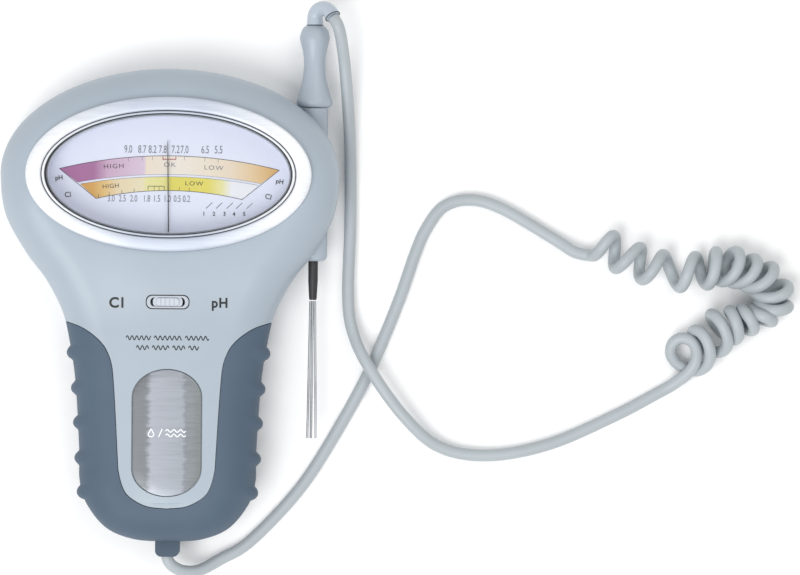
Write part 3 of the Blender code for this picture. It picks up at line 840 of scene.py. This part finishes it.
def grip_mesh(outer, inner, extra, is_grip):
    """The rubber grip's solid along the handle's outline, or the rear half's pocket for it."""
    side = [p for p in smooth(SIDE, 12) if p.y < GRIP_START_Y + extra]
    first = Vector((36.85, GRIP_START_Y + extra))
    run = evenly([first] + side, 0.7)
    path = run + [Vector((-p.x, p.y)) for p in reversed(run[:-1])]
    rings = []
    length = 0.0
    total = sum((b - a).length for a, b in zip(path, path[1:]))
    for k, p in enumerate(path):
        length += (p - path[max(k - 1, 0)]).length
        along = heading(path, k)
        station = (p, Vector((along.y, -along.x)).normalized())
        reach = min(1.0, (0.4 + min(length, total - length)) / 16.0)
        span = max(0.05, to_tongue(*station))
        across = min(EDGE_FRONT - 0.02, span) if is_grip else 0.05
        over = span - across if is_grip else 0.0
        front = math.degrees(math.acos(1 - across / EDGE_FRONT))
        back = 80.0 * math.sqrt(1 - (1 - reach) ** 2)
        turns = [front * j / 10 for j in range(10, -1, -1)] + [-back * j / 8 for j in range(1, 9)]
        ends = [extra + over] + [0.0] * 17 + [extra]
        ring = []
        for t, end in zip(turns, ends):
            out = rib_height(p.y, t) if is_grip else 0.0
            ring.append(skin_point(station, t, outer, extra=end - out))
        for t, end in zip(turns[::-1], ends[::-1]):
            ring.append(skin_point(station, t, inner, extra=end))
        rings.append(ring)
    return loft_mesh(rings)


def cutter(name, shape, operation="DIFFERENCE"):
    """A closed mesh used only in a Boolean, with what it does there."""
    obj = mesh_piece(name, *shape, None, None)
    obj.hide_render = True
    return obj, operation


def carve(obj, others):
    """Applies the cutters in their order and removes them."""
    for other, operation in others:
        made = obj.modifiers.new(other.name, "BOOLEAN")
        made.operation = operation
        made.solver = "EXACT"
        made.object = other
    bpy.context.view_layer.update()
    graph = bpy.context.evaluated_depsgraph_get()
    carved = bpy.data.meshes.new_from_object(obj.evaluated_get(graph))
    if len(carved.polygons) < 20:
        raise RuntimeError(f"{obj.name} came out empty")
    obj.modifiers.clear()
    obj.data = carved
    for other, _ in others:
        bpy.data.objects.remove(other)
    carved.shade_smooth()
    carved.set_sharp_from_angle(angle=math.radians(32.0))
    return obj


FRONT_TURNS = range(0, 91, 6)
REAR_TURNS = (-0.001, -7, -14, -21, -28, -36, -44, -52, -60, -68, -76, -83, -90)
COLUMNS = (0.8, 0.6, 0.4, 0.2, 0.0, -0.2, -0.4, -0.6, -0.8)

# The pocket runs round the tongue, whose edge is moved a little towards the handle's middle.
POCKET_DEPTH = GRIP_THICK + FIT
around = [(45.0, GRIP_START_Y + FIT)]
for k, p in enumerate(tongue_line):
    along = heading(tongue_line, k)
    around.append(tuple(p + Vector((along.y, -along.x)).normalized() * FIT))
around += [(-45.0, GRIP_START_Y + FIT), (-45.0, -110.0), (45.0, -110.0)]
pocket = cutter("cut_pocket", prism(around, 10.0, 40.0))
core = core_mesh(FRONT_TURNS, POCKET_DEPTH, COLUMNS, PARTING_Z + HALF_GAP, 8.0)
carve(pocket[0], [cutter("pocket_core", core)])
front_mesh = shell_mesh(FRONT_TURNS, (0, 30, 60, 90), COLUMNS, PARTING_Z + HALF_GAP)
front = mesh_piece("front_shell", *front_mesh, "housing", "case_front")
carve(
    front,
    [
        cutter("cut_window", prism(ellipse(43.5, 21.2), 25.0, 40.0)),
        cutter("cut_seat", prism(ellipse(51.26, 27.76, 200), 31.0, 40.0)),
        cutter("cut_switch", prism(round_slot(7.85, 2.6, 2.2), 20.0, 40.0)),
        cutter("cut_label", prism(capsule(FIT), 29.2, 40.0)),
        pocket,
    ],
)
paint(front, case_skin)
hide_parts("front_case")
front_tree = BVHTree.FromObject(front, bpy.context.evaluated_depsgraph_get())


def on_front(x, y):
    """The height of the front surface at a place, in millimetres."""
    hit = front_tree.ray_cast(Vector((x, y, 60.0)) * MM, Vector((0.0, 0.0, -1.0)))[0]
    return hit.z / MM if hit else 0.0


def round_bar(x, y, z, radius, length, axis="Z"):
    """A round bar from its start along Y or Z."""
    ends = [[], []]
    for t in circle(40):
        u = radius * math.cos(t)
        v = radius * math.sin(t)
        for end, far in zip(ends, (0.0, length)):
            end.append((x + u, y + v, z + far) if axis == "Z" else (x + u, y + far, z + v))
    return loft_mesh(ends)


rear_mesh = shell_mesh(REAR_TURNS, (-0.001, -30, -60, -90), (), PARTING_Z - HALF_GAP)
rear = mesh_piece("rear_shell", *rear_mesh, "housing", "case_rear")
CASE_SCREWS = [(26.5, 62.7), (-26.5, 62.7), (17.0, -68.0), (-17.0, -68.0)]
gland_way = prism(rectangle(-4.65, 4.65, -105, -88), 7.0, 17.5)
rear_cuts = [
    cutter("cut_pocket_rear", grip_mesh(-1.6, POCKET_DEPTH, FIT, False)),
    cutter("cut_holster", round_bar(PROBE_X, -10.0, PROBE_Z, 5.3, 90.0, "Y")),
    cutter("cut_gland", gland_way),
]
rear_cuts += [cutter("boss", round_bar(x, y, 2.7, 3.8, 13.8), "UNION") for x, y in CASE_SCREWS]
for x, y in CASE_SCREWS:
    rear_cuts.append(cutter("cut_head", round_bar(x, y, -1.0, 2.9, 3.6)))
    rear_cuts.append(cutter("cut_bore", round_bar(x, y, 1.0, 1.6, 17.0)))
carve(rear, rear_cuts)
paint(rear, rear_skin)
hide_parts("rear_case")

# ---- Rubber grip with its ribs ----

grip = mesh_piece("grip_rubber", *grip_mesh(0.0, GRIP_THICK, 0.0, True), "housing", "grip")
carve(grip, [cutter("cut_grip_gland", gland_way)])
paint(grip, grip_skin)
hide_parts("grip_sleeve")

# ---- Bezel, label and switch trim ----

BEZEL = [
    (51.2, 27.7, 31.3),
    (51.2, 27.7, 33.3),
    (51.05, 27.56, 33.7),
    (50.65, 27.2, 34.0),
    (50.0, 26.62, 34.2),
    (49.2, 25.9, 34.35),
    (48.2, 25.02, 34.47),
    (47.2, 24.15, 34.55),
    (46.4, 23.45, 34.5),
    (45.95, 23.07, 34.35),
    (45.75, 22.92, 33.95),
    (45.5, 22.72, 33.9),
    (45.35, 22.6, 33.95),
    (45.25, 22.52, 34.3),
    (45.0, 22.32, 34.5),
    (44.7, 22.08, 34.5),
    (44.45, 21.88, 34.3),
    (44.4, 21.84, 34.02),
    (45.3, 22.5, 34.0),
    (45.6, 22.7, 33.8),
    (45.6, 22.7, 31.3),
]


def oval_ring(profile, n=200):
    """A closed ring of ovals, from (half-width, half-height, z) points."""
    return loft_mesh([flat(ellipse(a, b, n), z) for a, b, z in profile], True)


bezel = mesh_piece("bezel_trim", *oval_ring(BEZEL), "housing", "bezel", 50.0)
paint(bezel, bezel_skin)
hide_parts("bezel_ring")


def line_ring(name, a, b, z, width):
    """A thin dark line of painted shade that follows the oval."""
    low = z - 0.1
    profile = [(a, b, z), (a - width, b - width, z), (a - width, b - width, low), (a, b, low)]
    paint(mesh_piece(name, *oval_ring(profile), "housing", "seal"), seal_and_shade_skin)


# Painted shade: dark lines in the bezel's groove and at the lens's edge, where shade falls.
line_ring("bezel_groove_shade_line", 45.72, 22.9, 34.0, 0.34)
line_ring("lens_edge_shade_line", 44.38, 21.82, 34.12, 0.3)

# A white wall round the dial, between the card and the bezel.
liner = [(43.4, 21.1, 24.1), (43.4, 21.1, 31.0), (43.1, 20.8, 31.0), (43.1, 20.8, 24.1)]
paint(mesh_piece("dial_liner", *oval_ring(liner, 160), "housing", "dial"), card_skin)

# A dark line of painted shade in the gap round the switch, the pale rim inside it and the knob
# below the rim.
gap_outer = round_slot(7.83, 2.58, 2.2)
gap_inner = round_slot(7.5, 2.25, 2.0)
gap_rings = [flat(gap_outer, 30.5), flat(gap_inner, 30.5)]
gap_rings += [flat(gap_inner, 30.0), flat(gap_outer, 30.0)]
paint(mesh_piece("switch_gap_shade_line", *loft_mesh(gap_rings, True), "housing", "seal"), seal_and_shade_skin)

RIM = [(7.48, 2.23, 30.4), (7.48, 2.23, 30.75), (7.3, 2.1, 30.85)]
RIM += [(6.4, 1.8, 30.85), (6.2, 1.65, 30.75), (6.2, 1.65, 30.4)]
KNOB = [(10.0, 3.4, 24.3), (10.0, 3.4, 25.5), (4.0, 1.3, 25.5), (4.0, 1.3, 29.4)]
KNOB += [(5.35, 2.05, 29.4), (5.35, 2.05, 30.1), (5.25, 1.95, 30.2)]
KNOB += [(4.1, 1.4, 30.2), (4.1, 1.4, 30.75), (3.95, 1.25, 30.88)]


def slots(profile):
    return [flat(round_slot(x, y, y * 0.9), z) for x, y, z in profile]


rim = mesh_piece("switch_rim", *loft_mesh(slots(RIM), True), "housing", "switch_guide")
paint(rim, guide_skin)
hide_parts("switch_guide")

knob = mesh_piece("switch_slider", *loft_mesh(slots(KNOB)), "switch", "knob")
grooves = []
for k in range(4):
    x = -2.4 + 1.6 * k
    edge = rectangle(x - 0.22, x + 0.22, SWITCH_Y - 2.0, SWITCH_Y + 2.0)
    grooves.append(cutter("cut_groove", prism(edge, 30.62, 32.0)))
carve(knob, grooves)
paint(knob, knob_skin)
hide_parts("switch_knob")


def sag(x):
    """How far the crowned label has dropped at an x."""
    return LABEL_SAG * (x / LABEL_HALF) ** 2


def label_plate():
    """The foil plate, gently crowned with a turned-down rim."""
    rings = []
    for grow, z in ((0.0, 29.5), (0.0, 30.2), (-0.12, 30.33), (-0.35, LABEL_TOP)):
        rings.append([(x, y, z - sag(x)) for x, y in capsule(grow)])
    for share in (0.75, 0.5, 0.25):
        squeeze = 0.35 + 0.65 * share
        ring = [(x * share, LABEL_Y + (y - LABEL_Y) * squeeze) for x, y in capsule(-0.35)]
        rings.append([(x, y, LABEL_TOP - sag(x)) for x, y in ring])
    return loft_mesh(rings)


label = mesh_piece("label_foil_plate", *label_plate(), "housing", "label")
paint(label, label_skin)
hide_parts("label_plate")

# ---- Printing ----


def glyphs(body, height, x, y, turn, squeeze, weight=0.0, tracking=1.0):
    """Lettering as millimetre points in the XY plane, centred on a place, with its faces."""
    curve = bpy.data.curves.new("glyphs", "FONT")
    curve.body = body
    curve.offset = weight
    curve.space_character = tracking
    curve.resolution_u = 4
    curve.extrude = 0.02
    holder = bpy.data.objects.new("glyphs", curve)
    scene.collection.objects.link(holder)
    bpy.context.view_layer.update()
    graph = bpy.context.evaluated_depsgraph_get()
    mesh = bpy.data.meshes.new_from_object(holder.evaluated_get(graph))
    points = [v.co.copy() for v in mesh.vertices]
    faces = [tuple(p.vertices) for p in mesh.polygons]
    bpy.data.objects.remove(holder)
    bpy.data.meshes.remove(mesh)
    low = Vector((min(p.x for p in points), min(p.y for p in points)))
    high = Vector((max(p.x for p in points), max(p.y for p in points)))
    scale = height / (high.y - low.y)
    c = math.cos(turn)
    s = math.sin(turn)
    found = []
    for p in points:
        u = (p.x - (low.x + high.x) / 2) * scale * squeeze
        v = (p.y - (low.y + high.y) / 2) * scale
        found.append((x + u * c - v * s, y + u * s + v * c, 1.0 if p.z > 0 else -1.0))
    return found, faces


def between(first, second):
    """A closed strip between two lines of equal count."""
    verts = []
    for a, b in zip(first, second):
        verts += [(*a, 1.0), (*a, -1.0), (*b, 1.0), (*b, -1.0)]
    faces = [(0, 2, 3, 1), tuple(len(verts) - k for k in (4, 3, 1, 2))]
    for k in range(len(first) - 1):
        a = 4 * k
        faces += [(a, a + 4, a + 6, a + 2), (a + 1, a + 3, a + 7, a + 5)]
        faces += [(a, a + 1, a + 5, a + 4), (a + 2, a + 6, a + 7, a + 3)]
    return verts, faces


def ribbon(points, width):
    """A closed strip of a width along points in the XY plane."""
    points = [Vector(p[:2]) for p in points]
    left = []
    right = []
    for k, p in enumerate(points):
        along = heading(points, k)
        side = Vector((-along.y, along.x)).normalized() * width / 2
        left.append(p + side)
        right.append(p - side)
    return between(left, right)


def strokes(points, width):
    """Straight ribbons from point to point, y counted from the head's centre."""
    points = [(x, HEAD_Y + y) for x, y in points]
    return [ribbon(ends, width) for ends in zip(points, points[1:])]


def printed(name, shapes, material, height, slot_name, thick=0.015):
    """Print shapes as one thin piece. The height is a number or a function of x and y."""
    verts = []
    faces = []
    for points, sides in shapes:
        faces += [tuple(len(verts) + i for i in side) for side in sides]
        for x, y, way in points:
            z = height(x, y) if callable(height) else height
            verts.append((x, y, z + thick * way))
    paint(mesh_piece(name, verts, faces, "housing", slot_name), material)


def arc(half, end, middle):
    """Points of a shallow arc from side to side of the dial, y counted from the head's centre."""
    rise = middle - end
    radius = (half * half + rise * rise) / (2 * rise)
    reach = math.asin(half / radius)
    turns = [-reach + 2 * reach * k / 48 for k in range(49)]
    return [(radius * math.sin(t), HEAD_Y + middle - radius + radius * math.cos(t)) for t in turns]


TOP_ARC = arc(39.5, 1.9, 6.75)
GAP_TOP = arc(32.9, -3.0, 0.1)
GAP_LOW = arc(32.0, -3.6, -0.75)
LOW_ARC = arc(26.2, -8.75, -5.7)
printed("scale_band_upper", [between(TOP_ARC, GAP_TOP)], upper_band_skin, DIAL_TOP + 0.03, "dial")
printed("scale_band_lower", [between(GAP_LOW, LOW_ARC)], lower_band_skin, DIAL_TOP + 0.03, "dial")

ABOVE = DIAL_TOP + 0.07


def at_arc(line, x):
    """The height of an arc at an x."""
    for a, b in zip(line, line[1:]):
        if a[0] <= x <= b[0]:
            return a[1] + (b[1] - a[1]) * (x - a[0]) / (b[0] - a[0])
    return line[0][1]


frame_sides = [[TOP_ARC[k], LOW_ARC[k]] for k in (0, -1)]
ink = [ribbon(line, 0.2) for line in (TOP_ARC, LOW_ARC, *frame_sides)]
soft_ink = [ribbon(GAP_TOP, 0.1), ribbon(GAP_LOW, 0.12)]
# Where each figure of the two scales stands.
UPPER_SCALE = {9.0: -14.8, 8.7: -9.8, 8.2: -6.1, 7.8: -2.4}
UPPER_SCALE |= {7.2: 2.2, 7.0: 5.4, 6.5: 12.8, 5.5: 17.6}
LOWER_SCALE = {3.0: -20.8, 2.5: -16.8, 2.0: -12.7, 1.8: -7.9}
LOWER_SCALE |= {1.5: -4.3, 1.0: -0.5, 0.5: 2.9, 0.2: 6.2}
for figure, x in UPPER_SCALE.items():
    soft_ink.append(glyphs(str(figure), 2.75, x, HEAD_Y + 9.1, 0.0, 0.62))
    top = at_arc(TOP_ARC, x)
    soft_ink.append(ribbon([(x, top), (x * 0.99, top - 1.5)], 0.14))
for figure, x in LOWER_SCALE.items():
    soft_ink.append(glyphs(str(figure), 2.35, x, HEAD_Y - 8.6, 0.0, 0.66))
for x in (-25.4, -21.5, -17.0, -12.6, 3.6, 7.2):
    low = at_arc(LOW_ARC, x)
    ink.append(ribbon([(x, low), (x, low + 1.3)], 0.16))
ink += strokes([(-7.6, -5.6), (-7.6, -4.2), (-1.8, -4.2), (-1.8, -5.6)], 0.2)
for x in (-5.4, -3.6):
    ink += strokes([(x, -5.6), (x, -4.2)], 0.16)
for k, x in enumerate((12.3, 15.9, 19.7, 23.1, 26.8)):
    ink += strokes([(x + 1.0, -12.0), (x + 3.2, -9.9)], 0.2)
    ink.append(glyphs(str(k + 1), 1.5, x + 0.2, HEAD_Y - 13.9, 0.0, 0.9, 0.02))
for body, height, x, y, turn, squeeze, weight, tracking in (
    ("pH", 2.2, -39.6, -1.6, 0.1, 1.0, 0.02, 1.0),
    ("pH", 2.2, 39.6, -2.4, -0.16, 1.0, 0.02, 1.0),
    ("Cl", 1.9, -36.4, -7.4, 0.12, 1.0, 0.01, 1.0),
    ("Cl", 1.9, 35.6, -7.6, -0.3, 1.0, 0.01, 1.0),
    ("HIGH", 1.6, -20.0, 2.9, 0.04, 1.2, 0.0, 1.2),
    ("HIGH", 1.5, -21.0, -4.2, 0.08, 1.1, 0.0, 1.1),
    ("LOW", 1.5, 9.0, -3.1, -0.02, 1.2, 0.0, 1.2),
):
    ink.append(glyphs(body, height, x, HEAD_Y + y, turn, squeeze, weight, tracking))
soft_ink.append(glyphs("OK", 1.6, 0.2, HEAD_Y + 3.6, 0.0, 1.2, 0.0, 1.2))
soft_ink.append(glyphs("LOW", 1.6, 16.0, HEAD_Y + 2.6, -0.05, 1.2, 0.0, 1.2))
red_ink = strokes([(-2.3, 6.4), (-2.3, 5.5), (2.3, 5.5), (2.3, 6.4)], 0.35)
printed("dial_print_dark", ink, ink_skin, ABOVE, "dial")
printed("dial_print_soft", soft_ink, soft_ink_skin, ABOVE + 0.01, "dial")
printed("dial_print_red", red_ink, red_ink_skin, ABOVE + 0.03, "dial")


def above_front(x, y):
    return on_front(x, y) + 0.03


def above_label(x, _):
    return LABEL_TOP - sag(x) + 0.03


def wave(left, right, y, height, period, width):
    """A run of small waves, a plain stand-in for small print."""
    count = round((right - left) / period * 10)
    points = []
    for k in range(count + 1):
        x = left + (right - left) * k / count
        points.append((x, y + height / 2 * math.sin(2 * math.pi * (x - left) / period)))
    return ribbon(points, width)


case_print = [
    glyphs("Cl", 3.9, -18.4, SWITCH_Y - 0.3, 0.0, 1.0, 0.03, 1.25),
    glyphs("pH", 4.7, 18.6, SWITCH_Y - 0.7, 0.0, 0.95, 0.03, 1.12),
]
for left, right in ((-14.8, -6.0), (-4.7, 5.1), (6.4, 14.8)):
    case_print.append(wave(left, right, -21.4, 1.5, 1.7, 0.36))
for left, right in ((-11.1, -6.7), (-5.4, 0.6), (1.9, 6.3), (7.6, 11.2)):
    case_print.append(wave(left, right, -24.9, 1.5, 1.7, 0.36))
printed("case_print", case_print, ink_skin, above_front, "case_front", 0.02)

drop = []
for k in range(25):
    t = 2 * math.pi * k / 24
    tip = max(0.0, math.sin(t))
    wide = 1.05 * math.cos(t) * (1 - 0.5 * tip)
    drop.append((-5.6 + wide, LABEL_Y - 0.4 + math.sin(t) + tip**3 * 0.8))
label_print = [
    ribbon(drop, 0.34),
    ribbon([(-2.9, LABEL_Y - 1.5), (-1.6, LABEL_Y + 1.5)], 0.34),
    wave(-0.4, 6.8, LABEL_Y + 0.75, 1.0, 2.4, 0.34),
    wave(-0.4, 6.8, LABEL_Y - 0.85, 1.0, 2.4, 0.34),
]
printed("label_print", label_print, white_ink_skin, above_label, "label", 0.02)

# ---- Probe ----

HANDLE = [
    (0.05, 0.0),
    (5.0, 0.0),
    (5.7, 0.25),
    (6.3, 0.9),
    (6.5, 1.7),
    (6.42, 2.5),
    (5.95, 3.9),
    (5.4, 5.6),
    (4.85, 7.6),
    (4.35, 10.0),
    (4.02, 12.6),
    (3.86, 15.4),
    (3.95, 18.0),
    (4.3, 20.3),
    (4.85, 22.4),
    (5.3, 24.2),
    (5.4, 25.3),
    (5.15, 26.7),
    (4.7, 28.0),
    (4.1, 28.9),
    (3.3, 29.5),
    (2.9, 29.6),
    (0.05, 29.6),
]
handle = mesh_piece("probe_grip", *turned_mesh(HANDLE, 62.0), "probe", "handle", 50.0)
paint(handle, handle_skin)
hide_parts("probe_handle")

HOLSTER = [
    (5.0, 55.1),
    (5.0, 1.8),
    (4.75, 1.1),
    (4.2, 0.4),
    (3.2, 0.0),
    (2.45, 0.0),
    (2.45, 6.0),
    (3.6, 6.9),
    (3.6, 54.9),
    (3.9, 55.1),
]
holster = mesh_piece("holster_tube", *turned_mesh(HOLSTER, 6.6, True), "housing", "holster")
paint(holster, handle_skin)
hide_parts("probe_holster")

HOOK_R = 3.0
hook = [(PROBE_X, 91.9, PROBE_Z), (PROBE_X, 93.4, PROBE_Z)]
for k in range(9):
    t = math.pi * k / 9.6
    rise = 5.6 * (k / 8) ** 1.5
    x = PROBE_X + HOOK_R - HOOK_R * math.cos(t)
    hook.append((x, 94.7 + HOOK_R * math.sin(t), PROBE_Z + rise))
hook.append((PROBE_X + 6.4, 94.8, PROBE_Z + 6.4))
hook = evenly(smooth(hook, 6), 0.5)
shares = [k / (len(hook) - 1) for k in range(len(hook))]
radii = [2.9 - 0.35 * share + 0.25 * max(0.0, share - 0.85) / 0.15 for share in shares]
elbow = mesh_piece("elbow_relief", *tube_mesh(hook, radii, 28), "probe", "elbow", 50.0)
paint(elbow, elbow_skin)
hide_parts("cord_elbow")


def seam_ring(name, centre, way, radius, thick):
    """A thin dark ring round a place, across a direction."""
    across = way.orthogonal().normalized()
    other = way.normalized().cross(across)
    turns = [2 * math.pi * k / 48 for k in range(49)]
    line = [centre + (across * math.cos(t) + other * math.sin(t)) * radius for t in turns]
    ring = mesh_piece(name, *tube_mesh(line, [thick] * len(line), 8), "probe", "seal", 80.0)
    paint(ring, seam_and_shadow_skin)


# Painted shadow: a dark ring round the elbow's open mouth, where its rim is in shade. The second
# ring is the dark joint between the elbow and the grip.
seam_ring("elbow_mouth_shadow_line", hook[-1], hook[-1] - hook[-2], radii[-1] - 0.05, 0.17)
seam_ring("elbow_joint_line", Vector((PROBE_X, 91.75, PROBE_Z)), Vector((0.0, 1.0, 0.0)), 2.9, 0.16)

# ---- Needle ----

# The needle's rest angle, and its half-width at distances from the pivot.
REST_TURN = math.radians(0.9)
BLADE = [(2.0, 0.22), (38.0, 0.14), (40.2, 0.09)]


def blade_point(across, out):
    c = math.cos(REST_TURN)
    s = math.sin(REST_TURN)
    return (across * c - out * s, PIVOT_Y + across * s + out * c)


outline = [blade_point(-w, out) for out, w in BLADE]
outline += [blade_point(w, out) for out, w in reversed(BLADE)]
blade = mesh_piece("needle_blade", *prism(outline, 25.0, 25.3), "needle", "needle")
paint(blade, needle_skin)
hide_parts("needle")

# ---- CAD nodes that keep their shape ----

KEPT = {
    lens_skin: ["lens_window"],
    seal_and_shade_skin: ["lens_gasket"],
    card_skin: ["dial_plate"],
    needle_skin: ["needle_hub"],
    gland_skin: ["cable_gland"],
    sleeve_skin: ["tip_sleeve", "probe_shank"],
    board_skin: ["circuit_board"],
    tan_skin: ["resistor_left", "resistor_right"],
    blue_skin: ["trimmer_left", "trimmer_right", "capacitor"],
    cord_skin: ["wire_left"],
    red_skin: ["wire_right"],
    copper_skin: ["moving_coil"],
    iron_skin: ["yoke_ring"],
    bracket_skin: ["meter_base", "upper_bridge", "switch_body", "cable_clamp"],
    brass_skin: ["core_arm_near", "core_arm_far", "jewel_screw_lower", "jewel_screw_upper"],
    steel_skin: ["core_magnet", "shaft_lower", "shaft_upper"],
}
KEPT[brass_skin] += ["hairspring", "needle_tail"]
KEPT[steel_skin] += [f"electrode_{place}" for place in ("left", "middle", "right")]
for place, count in (("board", 2), ("case", 4), ("dial", 3)):
    KEPT[steel_skin] += [f"{place}_screw_{k + 1}" for k in range(count)]
for material, names in KEPT.items():
    for name in names:
        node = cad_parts[name]
        paint(node, material)
        node.data.shade_smooth()
        node.data.set_sharp_from_angle(angle=math.radians(35.0))
